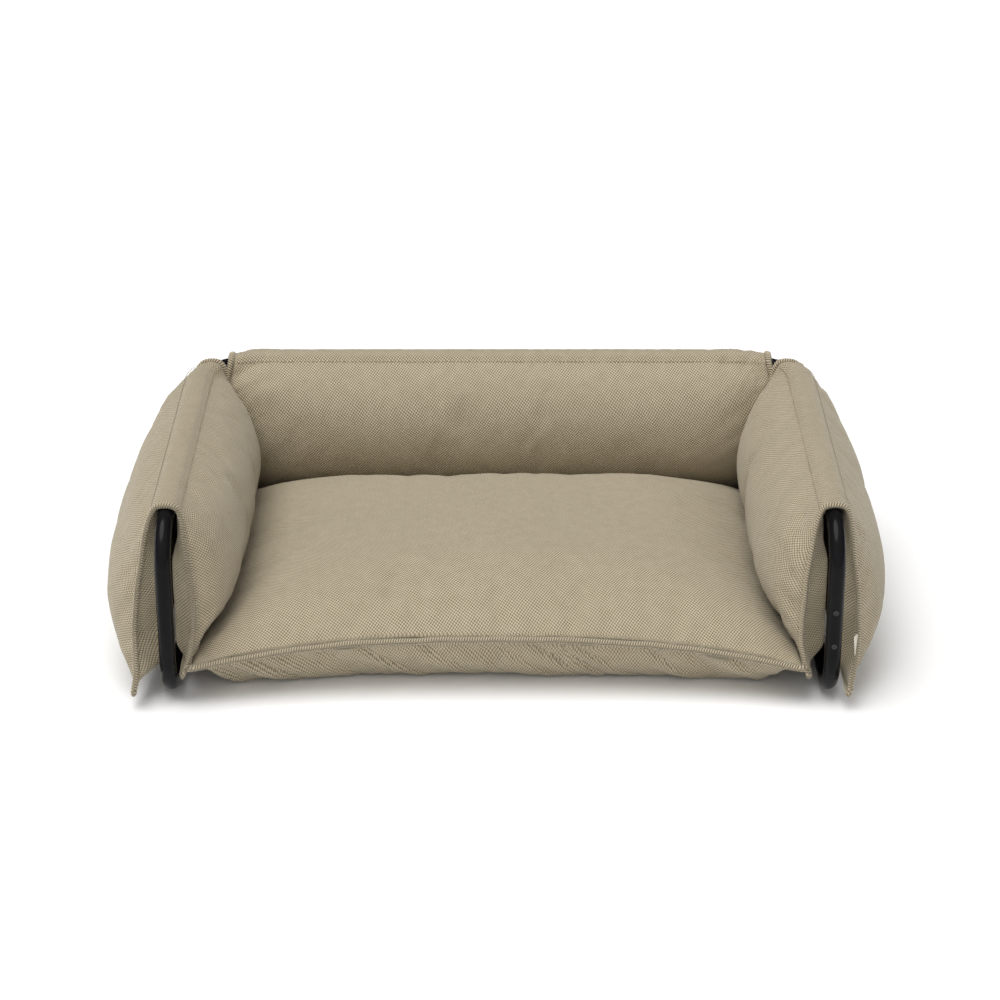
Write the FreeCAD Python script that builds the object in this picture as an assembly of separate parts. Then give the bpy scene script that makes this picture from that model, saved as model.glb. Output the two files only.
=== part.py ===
"""Low sofa-style dog bed: a bent steel tube frame with a padded quilt hung over its rails.

Millimetres, +Z up, -Y to the front, and +X to the right as seen from the front. Left and right are as seen
from the front too. The origin is on the floor at the centre of the bed's footprint. The two side rails and the
back rail carry the quilt: each of its three flaps folds over a rail, with one pad inside the frame and one
outside it.
"""

import FreeCAD, Part
import math
import os

from FreeCAD import Placement, Rotation, Vector

# Frame
RAIL_SPACING = 880.0  # between the centre lines of the two side rails
FRAME_DEPTH = 600.0  # from the front legs' centre lines to the back rails' centre lines
RAIL_HEIGHT = 252.0  # from the floor to the centre line of the upper rails
TUBE_DIAMETER = 22.0
TUBE_WALL = 1.5
LEG_BEND_RADIUS = 60.0
CORNER_RADIUS = 80.0
GLIDE_THICKNESS = 2.0  # between the lower rails and the floor
GLIDE_LENGTH = 60.0
GLIDE_WIDTH = 14.0
GLIDE_WRAP = 3.0  # how far a glide's sides reach up the tube

# Joints between the upper and the lower frame
SLEEVE_SHARE = 0.75  # a leg sleeve's length, as a share of the leg's straight part
SLEEVE_BEND_GAP = 1.0  # between a leg sleeve's lower end and the lower bend
SLEEVE_WALL = 2.0
SLEEVE_CLEARANCE = 0.1  # radial, between a sleeve and the tube round it
LEG_SCREW_MARGIN = 20.0  # from a leg sleeve's ends to its screws
POST_SETBACK = 30.0  # from the start of a rear corner's bend to the rear post next to it
POST_END_GAP = 0.3  # between a post's lower end and the lower rail
SPIGOT_LENGTH = 40.0
POST_SCREW_RISE = 26.0  # above the lower rail's centre line
SCREW_RADIUS = 2.5
SCREW_LENGTH = 7.0
SCREW_HOLE_RADIUS = 2.6
SCREW_HEAD_RADIUS = 3.6
SCREW_HEAD_HEIGHT = 1.8
SCREW_HEAD_ROUND = 1.25
SCREW_SOCKET_RADIUS = 1.6
SCREW_SOCKET_DEPTH = 1.1

# Quilt
FABRIC = 2.0  # one layer of the cover, with its lining
FILL_GAP = 0.5  # between a fill pad and the cover round it
PAD_GAP = 2.0  # between the frame's tubes and the flap pads
CHANNEL_THICKNESS = 6.0  # the thin quilted strip that lies over a rail
CHANNEL_GAP = 0.3  # between that strip and the rail
CHANNEL_CLEARANCE = 0.5  # between that strip and an outer pad that is being lifted
RAIL_CLEARANCE = 0.9  # between an inner pad's top and the rail where it turns in over the pad
SEAT_CROWN = 130.0
SEAT_EDGE = 60.0
SEAT_SETBACK = 20.0  # from the front legs' centre lines to the seat's front edge
SEAT_REAR_MARGIN = 30.0  # from the seat's rear edge to the back rails' centre lines
SEAT_SIDE_MARGIN = 35.0  # from the seat's sides to the side rails' centre lines
ARM_SETBACK = 25.0  # from the front legs' centre lines to the arm pads' front ends
ARM_REAR_MARGIN = 45.0  # from the arm pads' rear ends to the back rails' centre lines
ARM_INNER_BULGE = 88.0
ARM_OUTER_BULGE = 73.0
BACK_SIDE_MARGIN = 60.0  # from the back pads' ends to the side rails' centre lines
BACK_INNER_BULGE = 75.0
BACK_OUTER_BULGE = 58.0
PAD_EDGE = 22.0  # a flap pad's thickness along its edges
ARM_SEAT_SHARE = 1 / 7  # an inner arm pad's hem is as high as the seat with this share of its swell
BACK_SEAT_SHARE = 2 / 7  # the same for the inner back pad
OUTER_PAD_BOTTOM = 22.0
PAD_CORNER_RADIUS = 30.0  # a pad's corners, seen square on
SEAT_CORNER_RADIUS = 60.0
SWELL_REACH = 0.85  # a pad swells over this share of the way from its long edges to its middle
FLAP_END_REACH = 70.0  # how far from their ends the flap pads swell
SWELL_STEPS = 8  # outlines that a pad's swell is drawn through, above its edge
FLAP_SOFTNESS = 1.6  # 1 for a pad that is plump up to its edge, more for one that tapers to it
SEAT_SOFTNESS = 2.0
ARM_CHANNEL_TURN = 40.0  # how far round the rear corners the arm channels reach, degrees
BACK_CHANNEL_TURN = 20.0  # how far round those corners the back channel reaches, degrees

# Side label and zip
LABEL_THICKNESS = 1.0
LABEL_REACH = 12.0
LABEL_HEIGHT = 34.0
LABEL_RISE = 44.0  # from the outer pad's hem to the label
ZIP_MARGIN = 80.0  # from the ends of the back pads to the zip's ends
ZIP_TAPE_WIDTH = 18.0
ZIP_TAPE_THICKNESS = 0.8
COIL_WIDTH = 5.0
COIL_DROP = 1.6
STOP_LENGTH = 4.0
STOP_WIDTH = 6.4
STOP_DROP = 2.4
SLIDER_LENGTH = 11.0
SLIDER_WIDTH = 9.0
SLIDER_DROP = 4.0
SLIDER_CLEARANCE = 0.3
BRIDGE_WIDTH = 2.4
BRIDGE_LENGTH = 8.0
BRIDGE_BAR = 1.0
BRIDGE_GAP = 2.6  # between the slider and the bridge, where the pull's bar turns
PULL_BAR_RADIUS = 0.8
PULL_ARM_GAP = 0.8  # between the bridge and the pull's arms
PULL_ARM_WIDTH = 1.2
PULL_THICKNESS = 1.4
PULL_ARM_LENGTH = 5.0
PULL_PLATE_LENGTH = 6.5

TUBE_RADIUS = TUBE_DIAMETER / 2
BORE_RADIUS = TUBE_RADIUS - TUBE_WALL
SLEEVE_RADIUS = BORE_RADIUS - SLEEVE_CLEARANCE
SIDE_X = RAIL_SPACING / 2
LEG_FRONT = TUBE_RADIUS + SCREW_HEAD_HEIGHT  # from a front leg's centre line to its screws' heads
OVERALL_DEPTH = LEG_FRONT + FRAME_DEPTH + TUBE_RADIUS + PAD_GAP + BACK_OUTER_BULGE
LEG_Y = LEG_FRONT - OVERALL_DEPTH / 2
BACK_Y = LEG_Y + FRAME_DEPTH
LOW_Z = GLIDE_THICKNESS + TUBE_RADIUS
LEG_SLEEVE_LENGTH = SLEEVE_SHARE * (RAIL_HEIGHT - LOW_Z - 2 * LEG_BEND_RADIUS)
LEG_JOINT_HEIGHT = LOW_Z + LEG_BEND_RADIUS + SLEEVE_BEND_GAP + LEG_SLEEVE_LENGTH / 2
LEG_SCREW_RISE = LEG_SLEEVE_LENGTH / 2 - LEG_SCREW_MARGIN
CORNER_Y = BACK_Y - CORNER_RADIUS
CORNER_X = SIDE_X - CORNER_RADIUS
POST_X = CORNER_X - POST_SETBACK
SEAT_WIDTH = RAIL_SPACING - 2 * SEAT_SIDE_MARGIN
SEAT_DEPTH = FRAME_DEPTH - SEAT_SETBACK - SEAT_REAR_MARGIN
ARM_LENGTH = FRAME_DEPTH - ARM_SETBACK - ARM_REAR_MARGIN
BACK_WIDTH = RAIL_SPACING - 2 * BACK_SIDE_MARGIN
INNER_ARM_BOTTOM = SEAT_EDGE + ARM_SEAT_SHARE * (SEAT_CROWN - SEAT_EDGE)
INNER_BACK_BOTTOM = SEAT_EDGE + BACK_SEAT_SHARE * (SEAT_CROWN - SEAT_EDGE)
FLAP_OFFSET = TUBE_RADIUS + PAD_GAP  # from a rail's centre line to the pads' flat faces
INNER_PAD_TOP = RAIL_HEIGHT - TUBE_RADIUS - RAIL_CLEARANCE
CHANNEL_RADIUS = TUBE_RADIUS + CHANNEL_GAP
CHANNEL_OUTER_RADIUS = CHANNEL_RADIUS + CHANNEL_THICKNESS
LIFT_RADIUS = CHANNEL_OUTER_RADIUS + CHANNEL_CLEARANCE
# An outer pad's upper inner corner stays outside LIFT_RADIUS as the pad turns about the rail.
OUTER_PAD_TOP = RAIL_HEIGHT - (LIFT_RADIUS**2 - FLAP_OFFSET**2) ** 0.5
ZIP_Y = BACK_Y + FLAP_OFFSET + PAD_EDGE / 2
ZIP_LENGTH = BACK_WIDTH - 2 * ZIP_MARGIN

UP = Vector(0, 0, 1)
ALONG_X = Vector(1, 0, 0)
ALONG_Y = Vector(0, 1, 0)


def mirrored(shape):
    """The same piece on the other side of the bed."""
    return shape.mirror(Vector(0, 0, 0), ALONG_X)


def joined(shapes):
    """One solid from pieces that meet face to face."""
    return shapes[0].fuse(shapes[1:]).removeSplitter()


def group(shapes):
    """Separate identical pieces that share one node."""
    return Part.makeCompound(shapes)


def solid_of(shape):
    """The single solid that a boolean operation left, without its wrapping."""
    return shape.Solids[0] if len(shape.Solids) == 1 else shape


def ring_face(centre, normal, outer, inner):
    """A flat annulus: a tube's section."""
    disc = Part.Face(Part.Wire(Part.makeCircle(outer, centre, normal)))
    hole = Part.Face(Part.Wire(Part.makeCircle(inner, centre, normal)))
    return disc.cut(hole).Faces[0]


def swept(section, moves):
    """A section carried along straight runs and tangent bends, as one solid."""
    pieces = []
    for move in moves:
        if move[0] == "run":
            pieces.append(section.extrude(move[1]))
            section = section.translated(move[1])
        else:
            _, centre, axis, degrees = move
            pieces.append(section.revolve(centre, axis, degrees))
            section = section.rotated(centre, axis, degrees)
    return solid_of(joined(pieces))


def frame_half(rail_z, up):
    """One of the two bent tubes: leg, side rail, back rail, side rail, leg. up is 1 for the upper tube."""
    start = Vector(-SIDE_X, LEG_Y, LEG_JOINT_HEIGHT)
    leg = abs(rail_z - LEG_JOINT_HEIGHT) - LEG_BEND_RADIUS
    bend_z = rail_z - up * LEG_BEND_RADIUS
    side = CORNER_Y - LEG_Y - LEG_BEND_RADIUS
    moves = [
        ("run", Vector(0, 0, up * leg)),
        ("bend", Vector(-SIDE_X, LEG_Y + LEG_BEND_RADIUS, bend_z), ALONG_X, -90 * up),
        ("run", Vector(0, side, 0)),
        ("bend", Vector(-CORNER_X, CORNER_Y, rail_z), UP, -90),
        ("run", Vector(2 * CORNER_X, 0, 0)),
        ("bend", Vector(CORNER_X, CORNER_Y, rail_z), UP, -90),
        ("run", Vector(0, -side, 0)),
        ("bend", Vector(SIDE_X, LEG_Y + LEG_BEND_RADIUS, bend_z), ALONG_X, 90 * up),
        ("run", Vector(0, 0, -up * leg)),
    ]
    return swept(ring_face(start, UP, TUBE_RADIUS, BORE_RADIUS), moves)


def screw(seat, inward):
    """A socket button-head screw. seat is the centre of its head's flat face, inward the way it points."""
    shank = Part.makeCylinder(SCREW_RADIUS, SCREW_LENGTH, seat, inward)
    head = Part.makeCylinder(SCREW_HEAD_RADIUS, SCREW_HEAD_HEIGHT, seat, -inward)
    circles = [e for e in head.Edges if isinstance(e.Curve, Part.Circle)]
    rim = max(circles, key=lambda e: e.CenterOfMass.distanceToPoint(seat))
    head = head.makeFillet(SCREW_HEAD_ROUND, [rim])
    socket_start = seat - inward * (SCREW_HEAD_HEIGHT - SCREW_SOCKET_DEPTH)
    socket = Part.makeCylinder(SCREW_SOCKET_RADIUS, SCREW_SOCKET_DEPTH, socket_start, -inward)
    return solid_of(head.fuse(shank).cut(socket).removeSplitter())


def screw_hole(seat, inward):
    """The hole for one screw through a tube's near wall and the sleeve inside it."""
    return Part.makeCylinder(SCREW_HOLE_RADIUS, SCREW_LENGTH, seat - inward, inward)


def screw_places():
    """Each screw's head centre and the way it points, first the legs' and then the posts'."""
    legs = []
    for side, inward in ((-1, -ALONG_Y), (1, ALONG_Y)):
        for rise in (-LEG_SCREW_RISE, LEG_SCREW_RISE):
            axis_point = Vector(side * SIDE_X, LEG_Y, LEG_JOINT_HEIGHT + rise)
            legs.append((axis_point - inward * TUBE_RADIUS, inward))
    posts = []
    for side in (-1, 1):
        inward = ALONG_X * -side
        axis_point = Vector(side * POST_X, BACK_Y, LOW_Z + POST_SCREW_RISE)
        posts.append((axis_point - inward * TUBE_RADIUS, inward))
    return legs, posts


def rear_post(x):
    """An upright between the two back rails: coped and welded above, slipped over its spigot below."""
    foot = Vector(x, BACK_Y, LOW_Z)
    tube = ring_face(foot, UP, TUBE_RADIUS, BORE_RADIUS).extrude(UP * (RAIL_HEIGHT - LOW_Z))
    upper_rail = rail_core(x, RAIL_HEIGHT, TUBE_RADIUS)
    lower_rail = rail_core(x, LOW_Z, TUBE_RADIUS + POST_END_GAP)
    return solid_of(tube.cut(upper_rail).cut(lower_rail))


def rail_core(x, z, radius):
    """A solid bar along a back rail near x, for coping what meets the rail."""
    start = Vector(x - 2 * TUBE_DIAMETER, BACK_Y, z)
    return Part.makeCylinder(radius, 4 * TUBE_DIAMETER, start, ALONG_X)


def rear_spigot(x):
    """The short tube welded on the lower back rail, which a rear post slips over."""
    foot = Vector(x, BACK_Y, LOW_Z)
    tube = ring_face(foot, UP, SLEEVE_RADIUS, SLEEVE_RADIUS - SLEEVE_WALL).extrude(UP * SPIGOT_LENGTH)
    return solid_of(tube.cut(rail_core(x, LOW_Z, TUBE_RADIUS)))


def leg_sleeve(x):
    """The tube inside a front leg that joins the upper frame to the lower one."""
    foot = Vector(x, LEG_Y, LEG_JOINT_HEIGHT - LEG_SLEEVE_LENGTH / 2)
    return ring_face(foot, UP, SLEEVE_RADIUS, SLEEVE_RADIUS - SLEEVE_WALL).extrude(UP * LEG_SLEEVE_LENGTH)


def glide(x, y, along):
    """A grip pad that cradles the underside of a lower rail. along is the rail's direction there."""
    across = GLIDE_WIDTH if along == ALONG_Y else GLIDE_LENGTH
    length = GLIDE_LENGTH if along == ALONG_Y else GLIDE_WIDTH
    corner = Vector(x - across / 2, y - length / 2, 0)
    block = Part.makeBox(across, length, GLIDE_THICKNESS + GLIDE_WRAP, corner)
    rail_start = Vector(x, y, LOW_Z) - along * GLIDE_LENGTH
    return solid_of(block.cut(Part.makeCylinder(TUBE_RADIUS, 2 * GLIDE_LENGTH, rail_start, along)))


def floor_glides():
    """Two grip pads under each side rail and two under the back rail."""
    front_y = LEG_Y + LEG_BEND_RADIUS + GLIDE_LENGTH / 2
    rear_y = CORNER_Y - GLIDE_LENGTH / 2
    sides = [glide(side * SIDE_X, y, ALONG_Y) for side in (-1, 1) for y in (front_y, rear_y)]
    backs = [glide(side * (CORNER_X - GLIDE_LENGTH), BACK_Y, ALONG_X) for side in (-1, 1)]
    return group(sides + backs)


def rounded_outline(width, height, corner, z):
    """A rounded rectangle at height z, centred on the Z axis."""
    block = Part.makeBox(width, height, corner, Vector(-width / 2, -height / 2, z))
    uprights = [e for e in block.Edges if e.BoundBox.ZLength > corner / 2]
    rounded = block.makeFillet(corner, uprights)
    return min(rounded.Faces, key=lambda face: face.CenterOfMass.z).OuterWire


def swollen(width, height, edge, crown, corner, softness, end_reach):
    """A closed pad lying on its flat face: thin along its edges and swollen in the middle."""
    outlines = []
    for step in range(SWELL_STEPS + 1):
        angle = math.pi / 2 * step / SWELL_STEPS
        inward = 1 - math.cos(angle)
        narrowed = height * (1 - SWELL_REACH * inward)
        shortened = width - 2 * end_reach * inward
        z = edge + (crown - edge) * math.sin(angle) ** softness
        outlines.append(rounded_outline(shortened, narrowed, corner * narrowed / height, z))
    border = Part.Face(outlines[0]).extrude(-UP * edge)
    dome = Part.makeLoft(outlines, True)
    return solid_of(joined([border, dome]))


def cover_and_fill(width, height, edge, crown, corner, softness, end_reach, place):
    """A pad's hollow cover and the fill pad inside it, both at their place in the bed."""

    def inset(depth):
        less = 2 * depth
        sizes = (width - less, height - less, edge - less, crown - less, corner - depth)
        return swollen(*sizes, softness, end_reach).translated(UP * depth)

    outside = swollen(width, height, edge, crown, corner, softness, end_reach)
    cover = solid_of(outside.cut(inset(FABRIC)))
    fill = inset(FABRIC + FILL_GAP)
    for shape in (cover, fill):
        shape.Placement = place.multiply(shape.Placement)
    return cover, fill


def facing(outward, along, centre):
    """Stands a pad up: its flat face at centre, swelling outward, its width along the given direction."""
    across = outward.cross(along)
    turn = Rotation(along, across, outward, "XYZ")
    return Placement(centre, turn)


def seat_pad():
    centre = Vector(0, LEG_Y + SEAT_SETBACK + SEAT_DEPTH / 2, 0)
    place = Placement(centre, Rotation())
    sizes = (SEAT_WIDTH, SEAT_DEPTH, SEAT_EDGE, SEAT_CROWN, SEAT_CORNER_RADIUS)
    return cover_and_fill(*sizes, SEAT_SOFTNESS, SWELL_REACH * SEAT_DEPTH / 2, place)


def left_arm_pad(outward, bulge, bottom, top):
    """One pad of the left arm: outward is +X for the pad inside the rail and -X for the one outside it."""
    middle_y = LEG_Y + ARM_SETBACK + ARM_LENGTH / 2
    centre = Vector(-SIDE_X + outward.x * FLAP_OFFSET, middle_y, (bottom + top) / 2)
    place = facing(outward, ALONG_Y * outward.x, centre)
    sizes = (ARM_LENGTH, top - bottom, PAD_EDGE, bulge, PAD_CORNER_RADIUS)
    return cover_and_fill(*sizes, FLAP_SOFTNESS, FLAP_END_REACH, place)


def back_pad(outward, bulge, bottom, top):
    """One pad of the back: outward is -Y for the pad inside the rail and +Y for the one behind it."""
    centre = Vector(0, BACK_Y + outward.y * FLAP_OFFSET, (bottom + top) / 2)
    place = facing(outward, ALONG_X * -outward.y, centre)
    sizes = (BACK_WIDTH, top - bottom, PAD_EDGE, bulge, PAD_CORNER_RADIUS)
    return cover_and_fill(*sizes, FLAP_SOFTNESS, FLAP_END_REACH, place)


def half_ring(centre, normal):
    """The section of the quilted strip that lies over the top of a rail."""
    ring = ring_face(centre, normal, CHANNEL_OUTER_RADIUS, CHANNEL_RADIUS)
    reach = 2 * CHANNEL_OUTER_RADIUS
    above = Part.makeBox(2 * reach, 2 * reach, reach, centre - Vector(reach, reach, 0))
    return ring.common(above).Faces[0]


def left_arm_channel():
    start = Vector(-SIDE_X, LEG_Y + LEG_BEND_RADIUS, RAIL_HEIGHT)
    moves = [
        ("run", ALONG_Y * (CORNER_Y - start.y)),
        ("bend", Vector(-CORNER_X, CORNER_Y, RAIL_HEIGHT), UP, -ARM_CHANNEL_TURN),
    ]
    return swept(half_ring(start, ALONG_Y), moves)


def back_channel():
    """The strip over the back rail, made outward from the middle in two halves."""
    corner = Vector(-CORNER_X, CORNER_Y, RAIL_HEIGHT)
    moves = [("run", ALONG_X * -CORNER_X), ("bend", corner, UP, BACK_CHANNEL_TURN)]
    left = swept(half_ring(Vector(0, BACK_Y, RAIL_HEIGHT), ALONG_X), moves)
    return solid_of(joined([left, mirrored(left)]))


def side_label():
    """The blank ribbon caught in the front seam of the right arm's outer pad."""
    x = SIDE_X + FLAP_OFFSET + PAD_EDGE / 2
    front = LEG_Y + ARM_SETBACK - LABEL_REACH
    corner = Vector(x, front, OUTER_PAD_BOTTOM + LABEL_RISE)
    return Part.makeBox(LABEL_THICKNESS, LABEL_REACH, LABEL_HEIGHT, corner)


def hanging_box(length, width, drop, top, x=0.0):
    """A block under the back flap's hem, centred on the zip, with its top face at the given height."""
    return Part.makeBox(length, width, drop, Vector(x - length / 2, ZIP_Y - width / 2, top - drop))


def zip_parts():
    """The zip along the back flap's hem: tape, coil, end stops, slider and pull, with the slider closed."""
    tape_bottom = OUTER_PAD_BOTTOM - ZIP_TAPE_THICKNESS
    tape = hanging_box(ZIP_LENGTH, ZIP_TAPE_WIDTH, ZIP_TAPE_THICKNESS, OUTER_PAD_BOTTOM)
    coil = hanging_box(ZIP_LENGTH, COIL_WIDTH, COIL_DROP, tape_bottom)
    stop_x = ZIP_LENGTH / 2 - STOP_LENGTH / 2
    stops = [
        solid_of(hanging_box(STOP_LENGTH, STOP_WIDTH, STOP_DROP, tape_bottom, side * stop_x).cut(coil))
        for side in (-1, 1)
    ]
    slider_x = stop_x - STOP_LENGTH / 2 - SLIDER_LENGTH / 2 - SLIDER_CLEARANCE
    slider_top = tape_bottom - SLIDER_CLEARANCE
    block = hanging_box(SLIDER_LENGTH, SLIDER_WIDTH, SLIDER_DROP, slider_top, slider_x)
    groove_width = COIL_WIDTH + 2 * SLIDER_CLEARANCE
    block = block.cut(hanging_box(SLIDER_LENGTH, groove_width, COIL_DROP, slider_top, slider_x))
    block_bottom = slider_top - SLIDER_DROP
    bridge_drop = BRIDGE_GAP + BRIDGE_BAR
    bridge = hanging_box(BRIDGE_LENGTH, BRIDGE_WIDTH, bridge_drop, block_bottom, slider_x)
    eye = hanging_box(BRIDGE_LENGTH - 2 * BRIDGE_BAR, BRIDGE_WIDTH, BRIDGE_GAP, block_bottom, slider_x)
    slider = solid_of(joined([block, bridge.cut(eye)]))
    pivot = Vector(slider_x, ZIP_Y, block_bottom - BRIDGE_GAP / 2)
    return tape, coil, group(stops), slider, zip_pull(pivot)


def zip_pull(pivot):
    """The pull: a bar through the bridge's eye, an arm each side of the bridge, and a plate below it."""
    arm_y = BRIDGE_WIDTH / 2 + PULL_ARM_GAP + PULL_ARM_WIDTH / 2
    width = 2 * arm_y + PULL_ARM_WIDTH
    bar = Part.makeCylinder(PULL_BAR_RADIUS, width, pivot - ALONG_Y * (width / 2), ALONG_Y)
    half = PULL_THICKNESS / 2
    pieces = [bar]
    for side in (-1, 1):
        corner = pivot + Vector(-half, side * arm_y - PULL_ARM_WIDTH / 2, -PULL_ARM_LENGTH)
        pieces.append(Part.makeBox(PULL_THICKNESS, PULL_ARM_WIDTH, PULL_ARM_LENGTH, corner))
    corner = pivot + Vector(-half, -width / 2, -PULL_ARM_LENGTH - PULL_PLATE_LENGTH)
    pieces.append(Part.makeBox(PULL_THICKNESS, width, PULL_PLATE_LENGTH, corner))
    return solid_of(joined(pieces))


def build():
    """Every node of the bed, by name."""
    nodes = {}
    leg_screws, post_screws = screw_places()
    leg_holes = [screw_hole(*place) for place in leg_screws]
    post_holes = [screw_hole(*place) for place in post_screws]
    nodes["upper_frame"] = solid_of(frame_half(RAIL_HEIGHT, 1).cut(leg_holes))
    nodes["lower_frame"] = solid_of(frame_half(LOW_Z, -1).cut(leg_holes))
    nodes["leg_screws"] = group([screw(*place) for place in leg_screws])
    nodes["post_screws"] = group([screw(*place) for place in post_screws])
    for name, side in (("left", -1), ("right", 1)):
        nodes[f"leg_sleeve_{name}"] = solid_of(leg_sleeve(side * SIDE_X).cut(leg_holes))
        nodes[f"rear_post_{name}"] = solid_of(rear_post(side * POST_X).cut(post_holes))
        nodes[f"rear_spigot_{name}"] = solid_of(rear_spigot(side * POST_X).cut(post_holes))
    nodes["floor_glides"] = floor_glides()

    pads = {
        "seat": seat_pad(),
        "back_inner": back_pad(-ALONG_Y, BACK_INNER_BULGE, INNER_BACK_BOTTOM, INNER_PAD_TOP),
        "back_outer": back_pad(ALONG_Y, BACK_OUTER_BULGE, OUTER_PAD_BOTTOM, OUTER_PAD_TOP),
        "arm_inner_left": left_arm_pad(ALONG_X, ARM_INNER_BULGE, INNER_ARM_BOTTOM, INNER_PAD_TOP),
        "arm_outer_left": left_arm_pad(-ALONG_X, ARM_OUTER_BULGE, OUTER_PAD_BOTTOM, OUTER_PAD_TOP),
    }
    for pad in ("arm_inner", "arm_outer"):
        pads[f"{pad}_right"] = [mirrored(shape) for shape in pads[f"{pad}_left"]]
    for name, (cover, fill) in pads.items():
        nodes[f"{name}_cover"] = cover
        nodes[f"{name}_fill"] = fill

    channel = left_arm_channel()
    nodes["arm_channel_left"] = channel
    nodes["arm_channel_right"] = mirrored(channel)
    nodes["back_channel"] = back_channel()
    nodes["side_label"] = side_label()

    tape, coil, stops, slider, pull = zip_parts()
    nodes["zip_tape"] = tape
    nodes["zip_coil"] = coil
    nodes["zip_stops"] = stops
    nodes["zip_slider"] = slider
    nodes["zip_pull"] = pull
    return nodes


os.makedirs("parts", exist_ok=True)
for node_name, node_shape in build().items():
    node_shape.exportStep(f"parts/{node_name}.step")
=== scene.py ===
"""The looks of a dog bed: a padded quilt folded over the rails of a black tube frame."""

import math

import bmesh
import bpy
import numpy as np
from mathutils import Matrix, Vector, noise
from mathutils.bvhtree import BVHTree
from mathutils.kdtree import KDTree


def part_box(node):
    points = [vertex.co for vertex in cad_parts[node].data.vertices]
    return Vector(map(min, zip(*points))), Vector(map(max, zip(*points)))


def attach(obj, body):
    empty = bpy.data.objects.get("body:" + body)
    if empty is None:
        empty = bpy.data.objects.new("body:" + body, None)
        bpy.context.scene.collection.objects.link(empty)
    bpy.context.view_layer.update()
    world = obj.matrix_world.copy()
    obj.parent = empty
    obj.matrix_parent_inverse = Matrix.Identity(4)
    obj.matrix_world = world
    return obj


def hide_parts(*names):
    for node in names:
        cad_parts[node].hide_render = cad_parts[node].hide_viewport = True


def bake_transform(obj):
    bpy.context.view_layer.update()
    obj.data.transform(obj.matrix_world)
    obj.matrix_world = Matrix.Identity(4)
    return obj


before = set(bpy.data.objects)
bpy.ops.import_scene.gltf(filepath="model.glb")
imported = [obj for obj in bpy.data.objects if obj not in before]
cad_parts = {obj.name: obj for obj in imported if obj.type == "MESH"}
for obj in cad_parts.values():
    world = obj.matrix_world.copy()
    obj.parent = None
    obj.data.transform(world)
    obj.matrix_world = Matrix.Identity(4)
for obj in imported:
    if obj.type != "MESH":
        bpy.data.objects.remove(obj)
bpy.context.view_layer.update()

# ---------------------------------------------------------------- sizes read from the frame
UPPER_LOW, UPPER_HIGH = (np.array(c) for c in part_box("upper_frame"))
LABEL_LOW, LABEL_HIGH = (np.array(c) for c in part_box("side_label"))
ZIP_LOW, ZIP_HIGH = (np.array(c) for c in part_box("zip_tape"))
POST_LOW, POST_HIGH = (np.array(c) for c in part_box("rear_post_right"))
TUBE = (POST_HIGH[0] - POST_LOW[0]) / 2  # the frame tube's radius
RAIL_X = UPPER_HIGH[0] - TUBE
RAIL_Y = UPPER_HIGH[1] - TUBE
RAIL_Z = UPPER_HIGH[2] - TUBE
LEG_Y = UPPER_LOW[1] + TUBE
CORNER = 0.080  # plan radius of the upper rail's rear bends
CORNER_Y = RAIL_Y - CORNER

# ---------------------------------------------------------------- camera
CAMERA_PITCH = math.radians(24.61)
CAMERA_BACK = 3.311  # from the front legs
CAMERA_HEIGHT = 1.818
CAMERA_LENS = 101.7
CAMERA_SENSOR = 36


def add_camera():
    camera = bpy.data.objects.new("camera", bpy.data.cameras.new("camera"))
    bpy.context.collection.objects.link(camera)
    camera.location = (0.0, LEG_Y - CAMERA_BACK, CAMERA_HEIGHT)
    camera.rotation_euler = (math.pi / 2 - CAMERA_PITCH, 0, 0)
    camera.data.lens = CAMERA_LENS
    camera.data.sensor_width = CAMERA_SENSOR
    bpy.context.scene.camera = camera


add_camera()


# ---------------------------------------------------------------- small helpers
def eased(t):
    """0 to 1 along a smooth step, with t held to that range."""
    t = np.clip(t, 0, 1)
    return t * t * (3 - 2 * t)


def eased_spacing(count, share):
    """Numbers from 0 to 1, closer together at both ends: share is how much of the smooth step is mixed in."""
    t = np.linspace(0, 1, count)
    return (1 - share) * t + share * eased(t)


def distances(line):
    """How far along a line each of its points lies."""
    return np.concatenate([[0], np.cumsum(np.linalg.norm(np.diff(line, axis=0), axis=1))])


def grid_quads(numbers):
    """The four-sided faces of a grid of vertex numbers."""
    corners = (numbers[:-1, :-1], numbers[1:, :-1], numbers[1:, 1:], numbers[:-1, 1:])
    return np.stack(corners, -1).reshape(-1, 4)


def ring_of(numbers):
    """The vertex numbers round a grid's border, in order."""
    return np.concatenate([numbers[0, :], numbers[1:, -1], numbers[-1, :-1][::-1], numbers[1:-1, 0][::-1]])


def border_of(shape):
    """True on a grid's border."""
    border = np.zeros(shape, bool)
    border[0] = border[-1] = border[:, 0] = border[:, -1] = True
    return border


def through(knots, x):
    """A smooth curve through (x, y) knots, for one x or many."""
    kx, ky = np.array(knots, float).T
    slope = np.gradient(ky, kx)
    x = np.clip(np.asarray(x, float), kx[0], kx[-1])
    i = np.clip(np.searchsorted(kx, x, side="right") - 1, 0, len(kx) - 2)
    span = kx[i + 1] - kx[i]
    t = (x - kx[i]) / span
    rise = ky[i] * (2 * t**3 - 3 * t**2 + 1) + ky[i + 1] * (3 * t**2 - 2 * t**3)
    return rise + span * (slope[i] * (t**3 - 2 * t**2 + t) + slope[i + 1] * (t**3 - t**2))


def wander(points, size, seed):
    """Smooth noise at each point, about -1 to 1, with features of that size."""
    shift = Vector((seed * 7.3, seed * 3.1, seed * 5.7))
    return np.array([noise.noise(Vector(p) / size + shift) for p in points])


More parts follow.
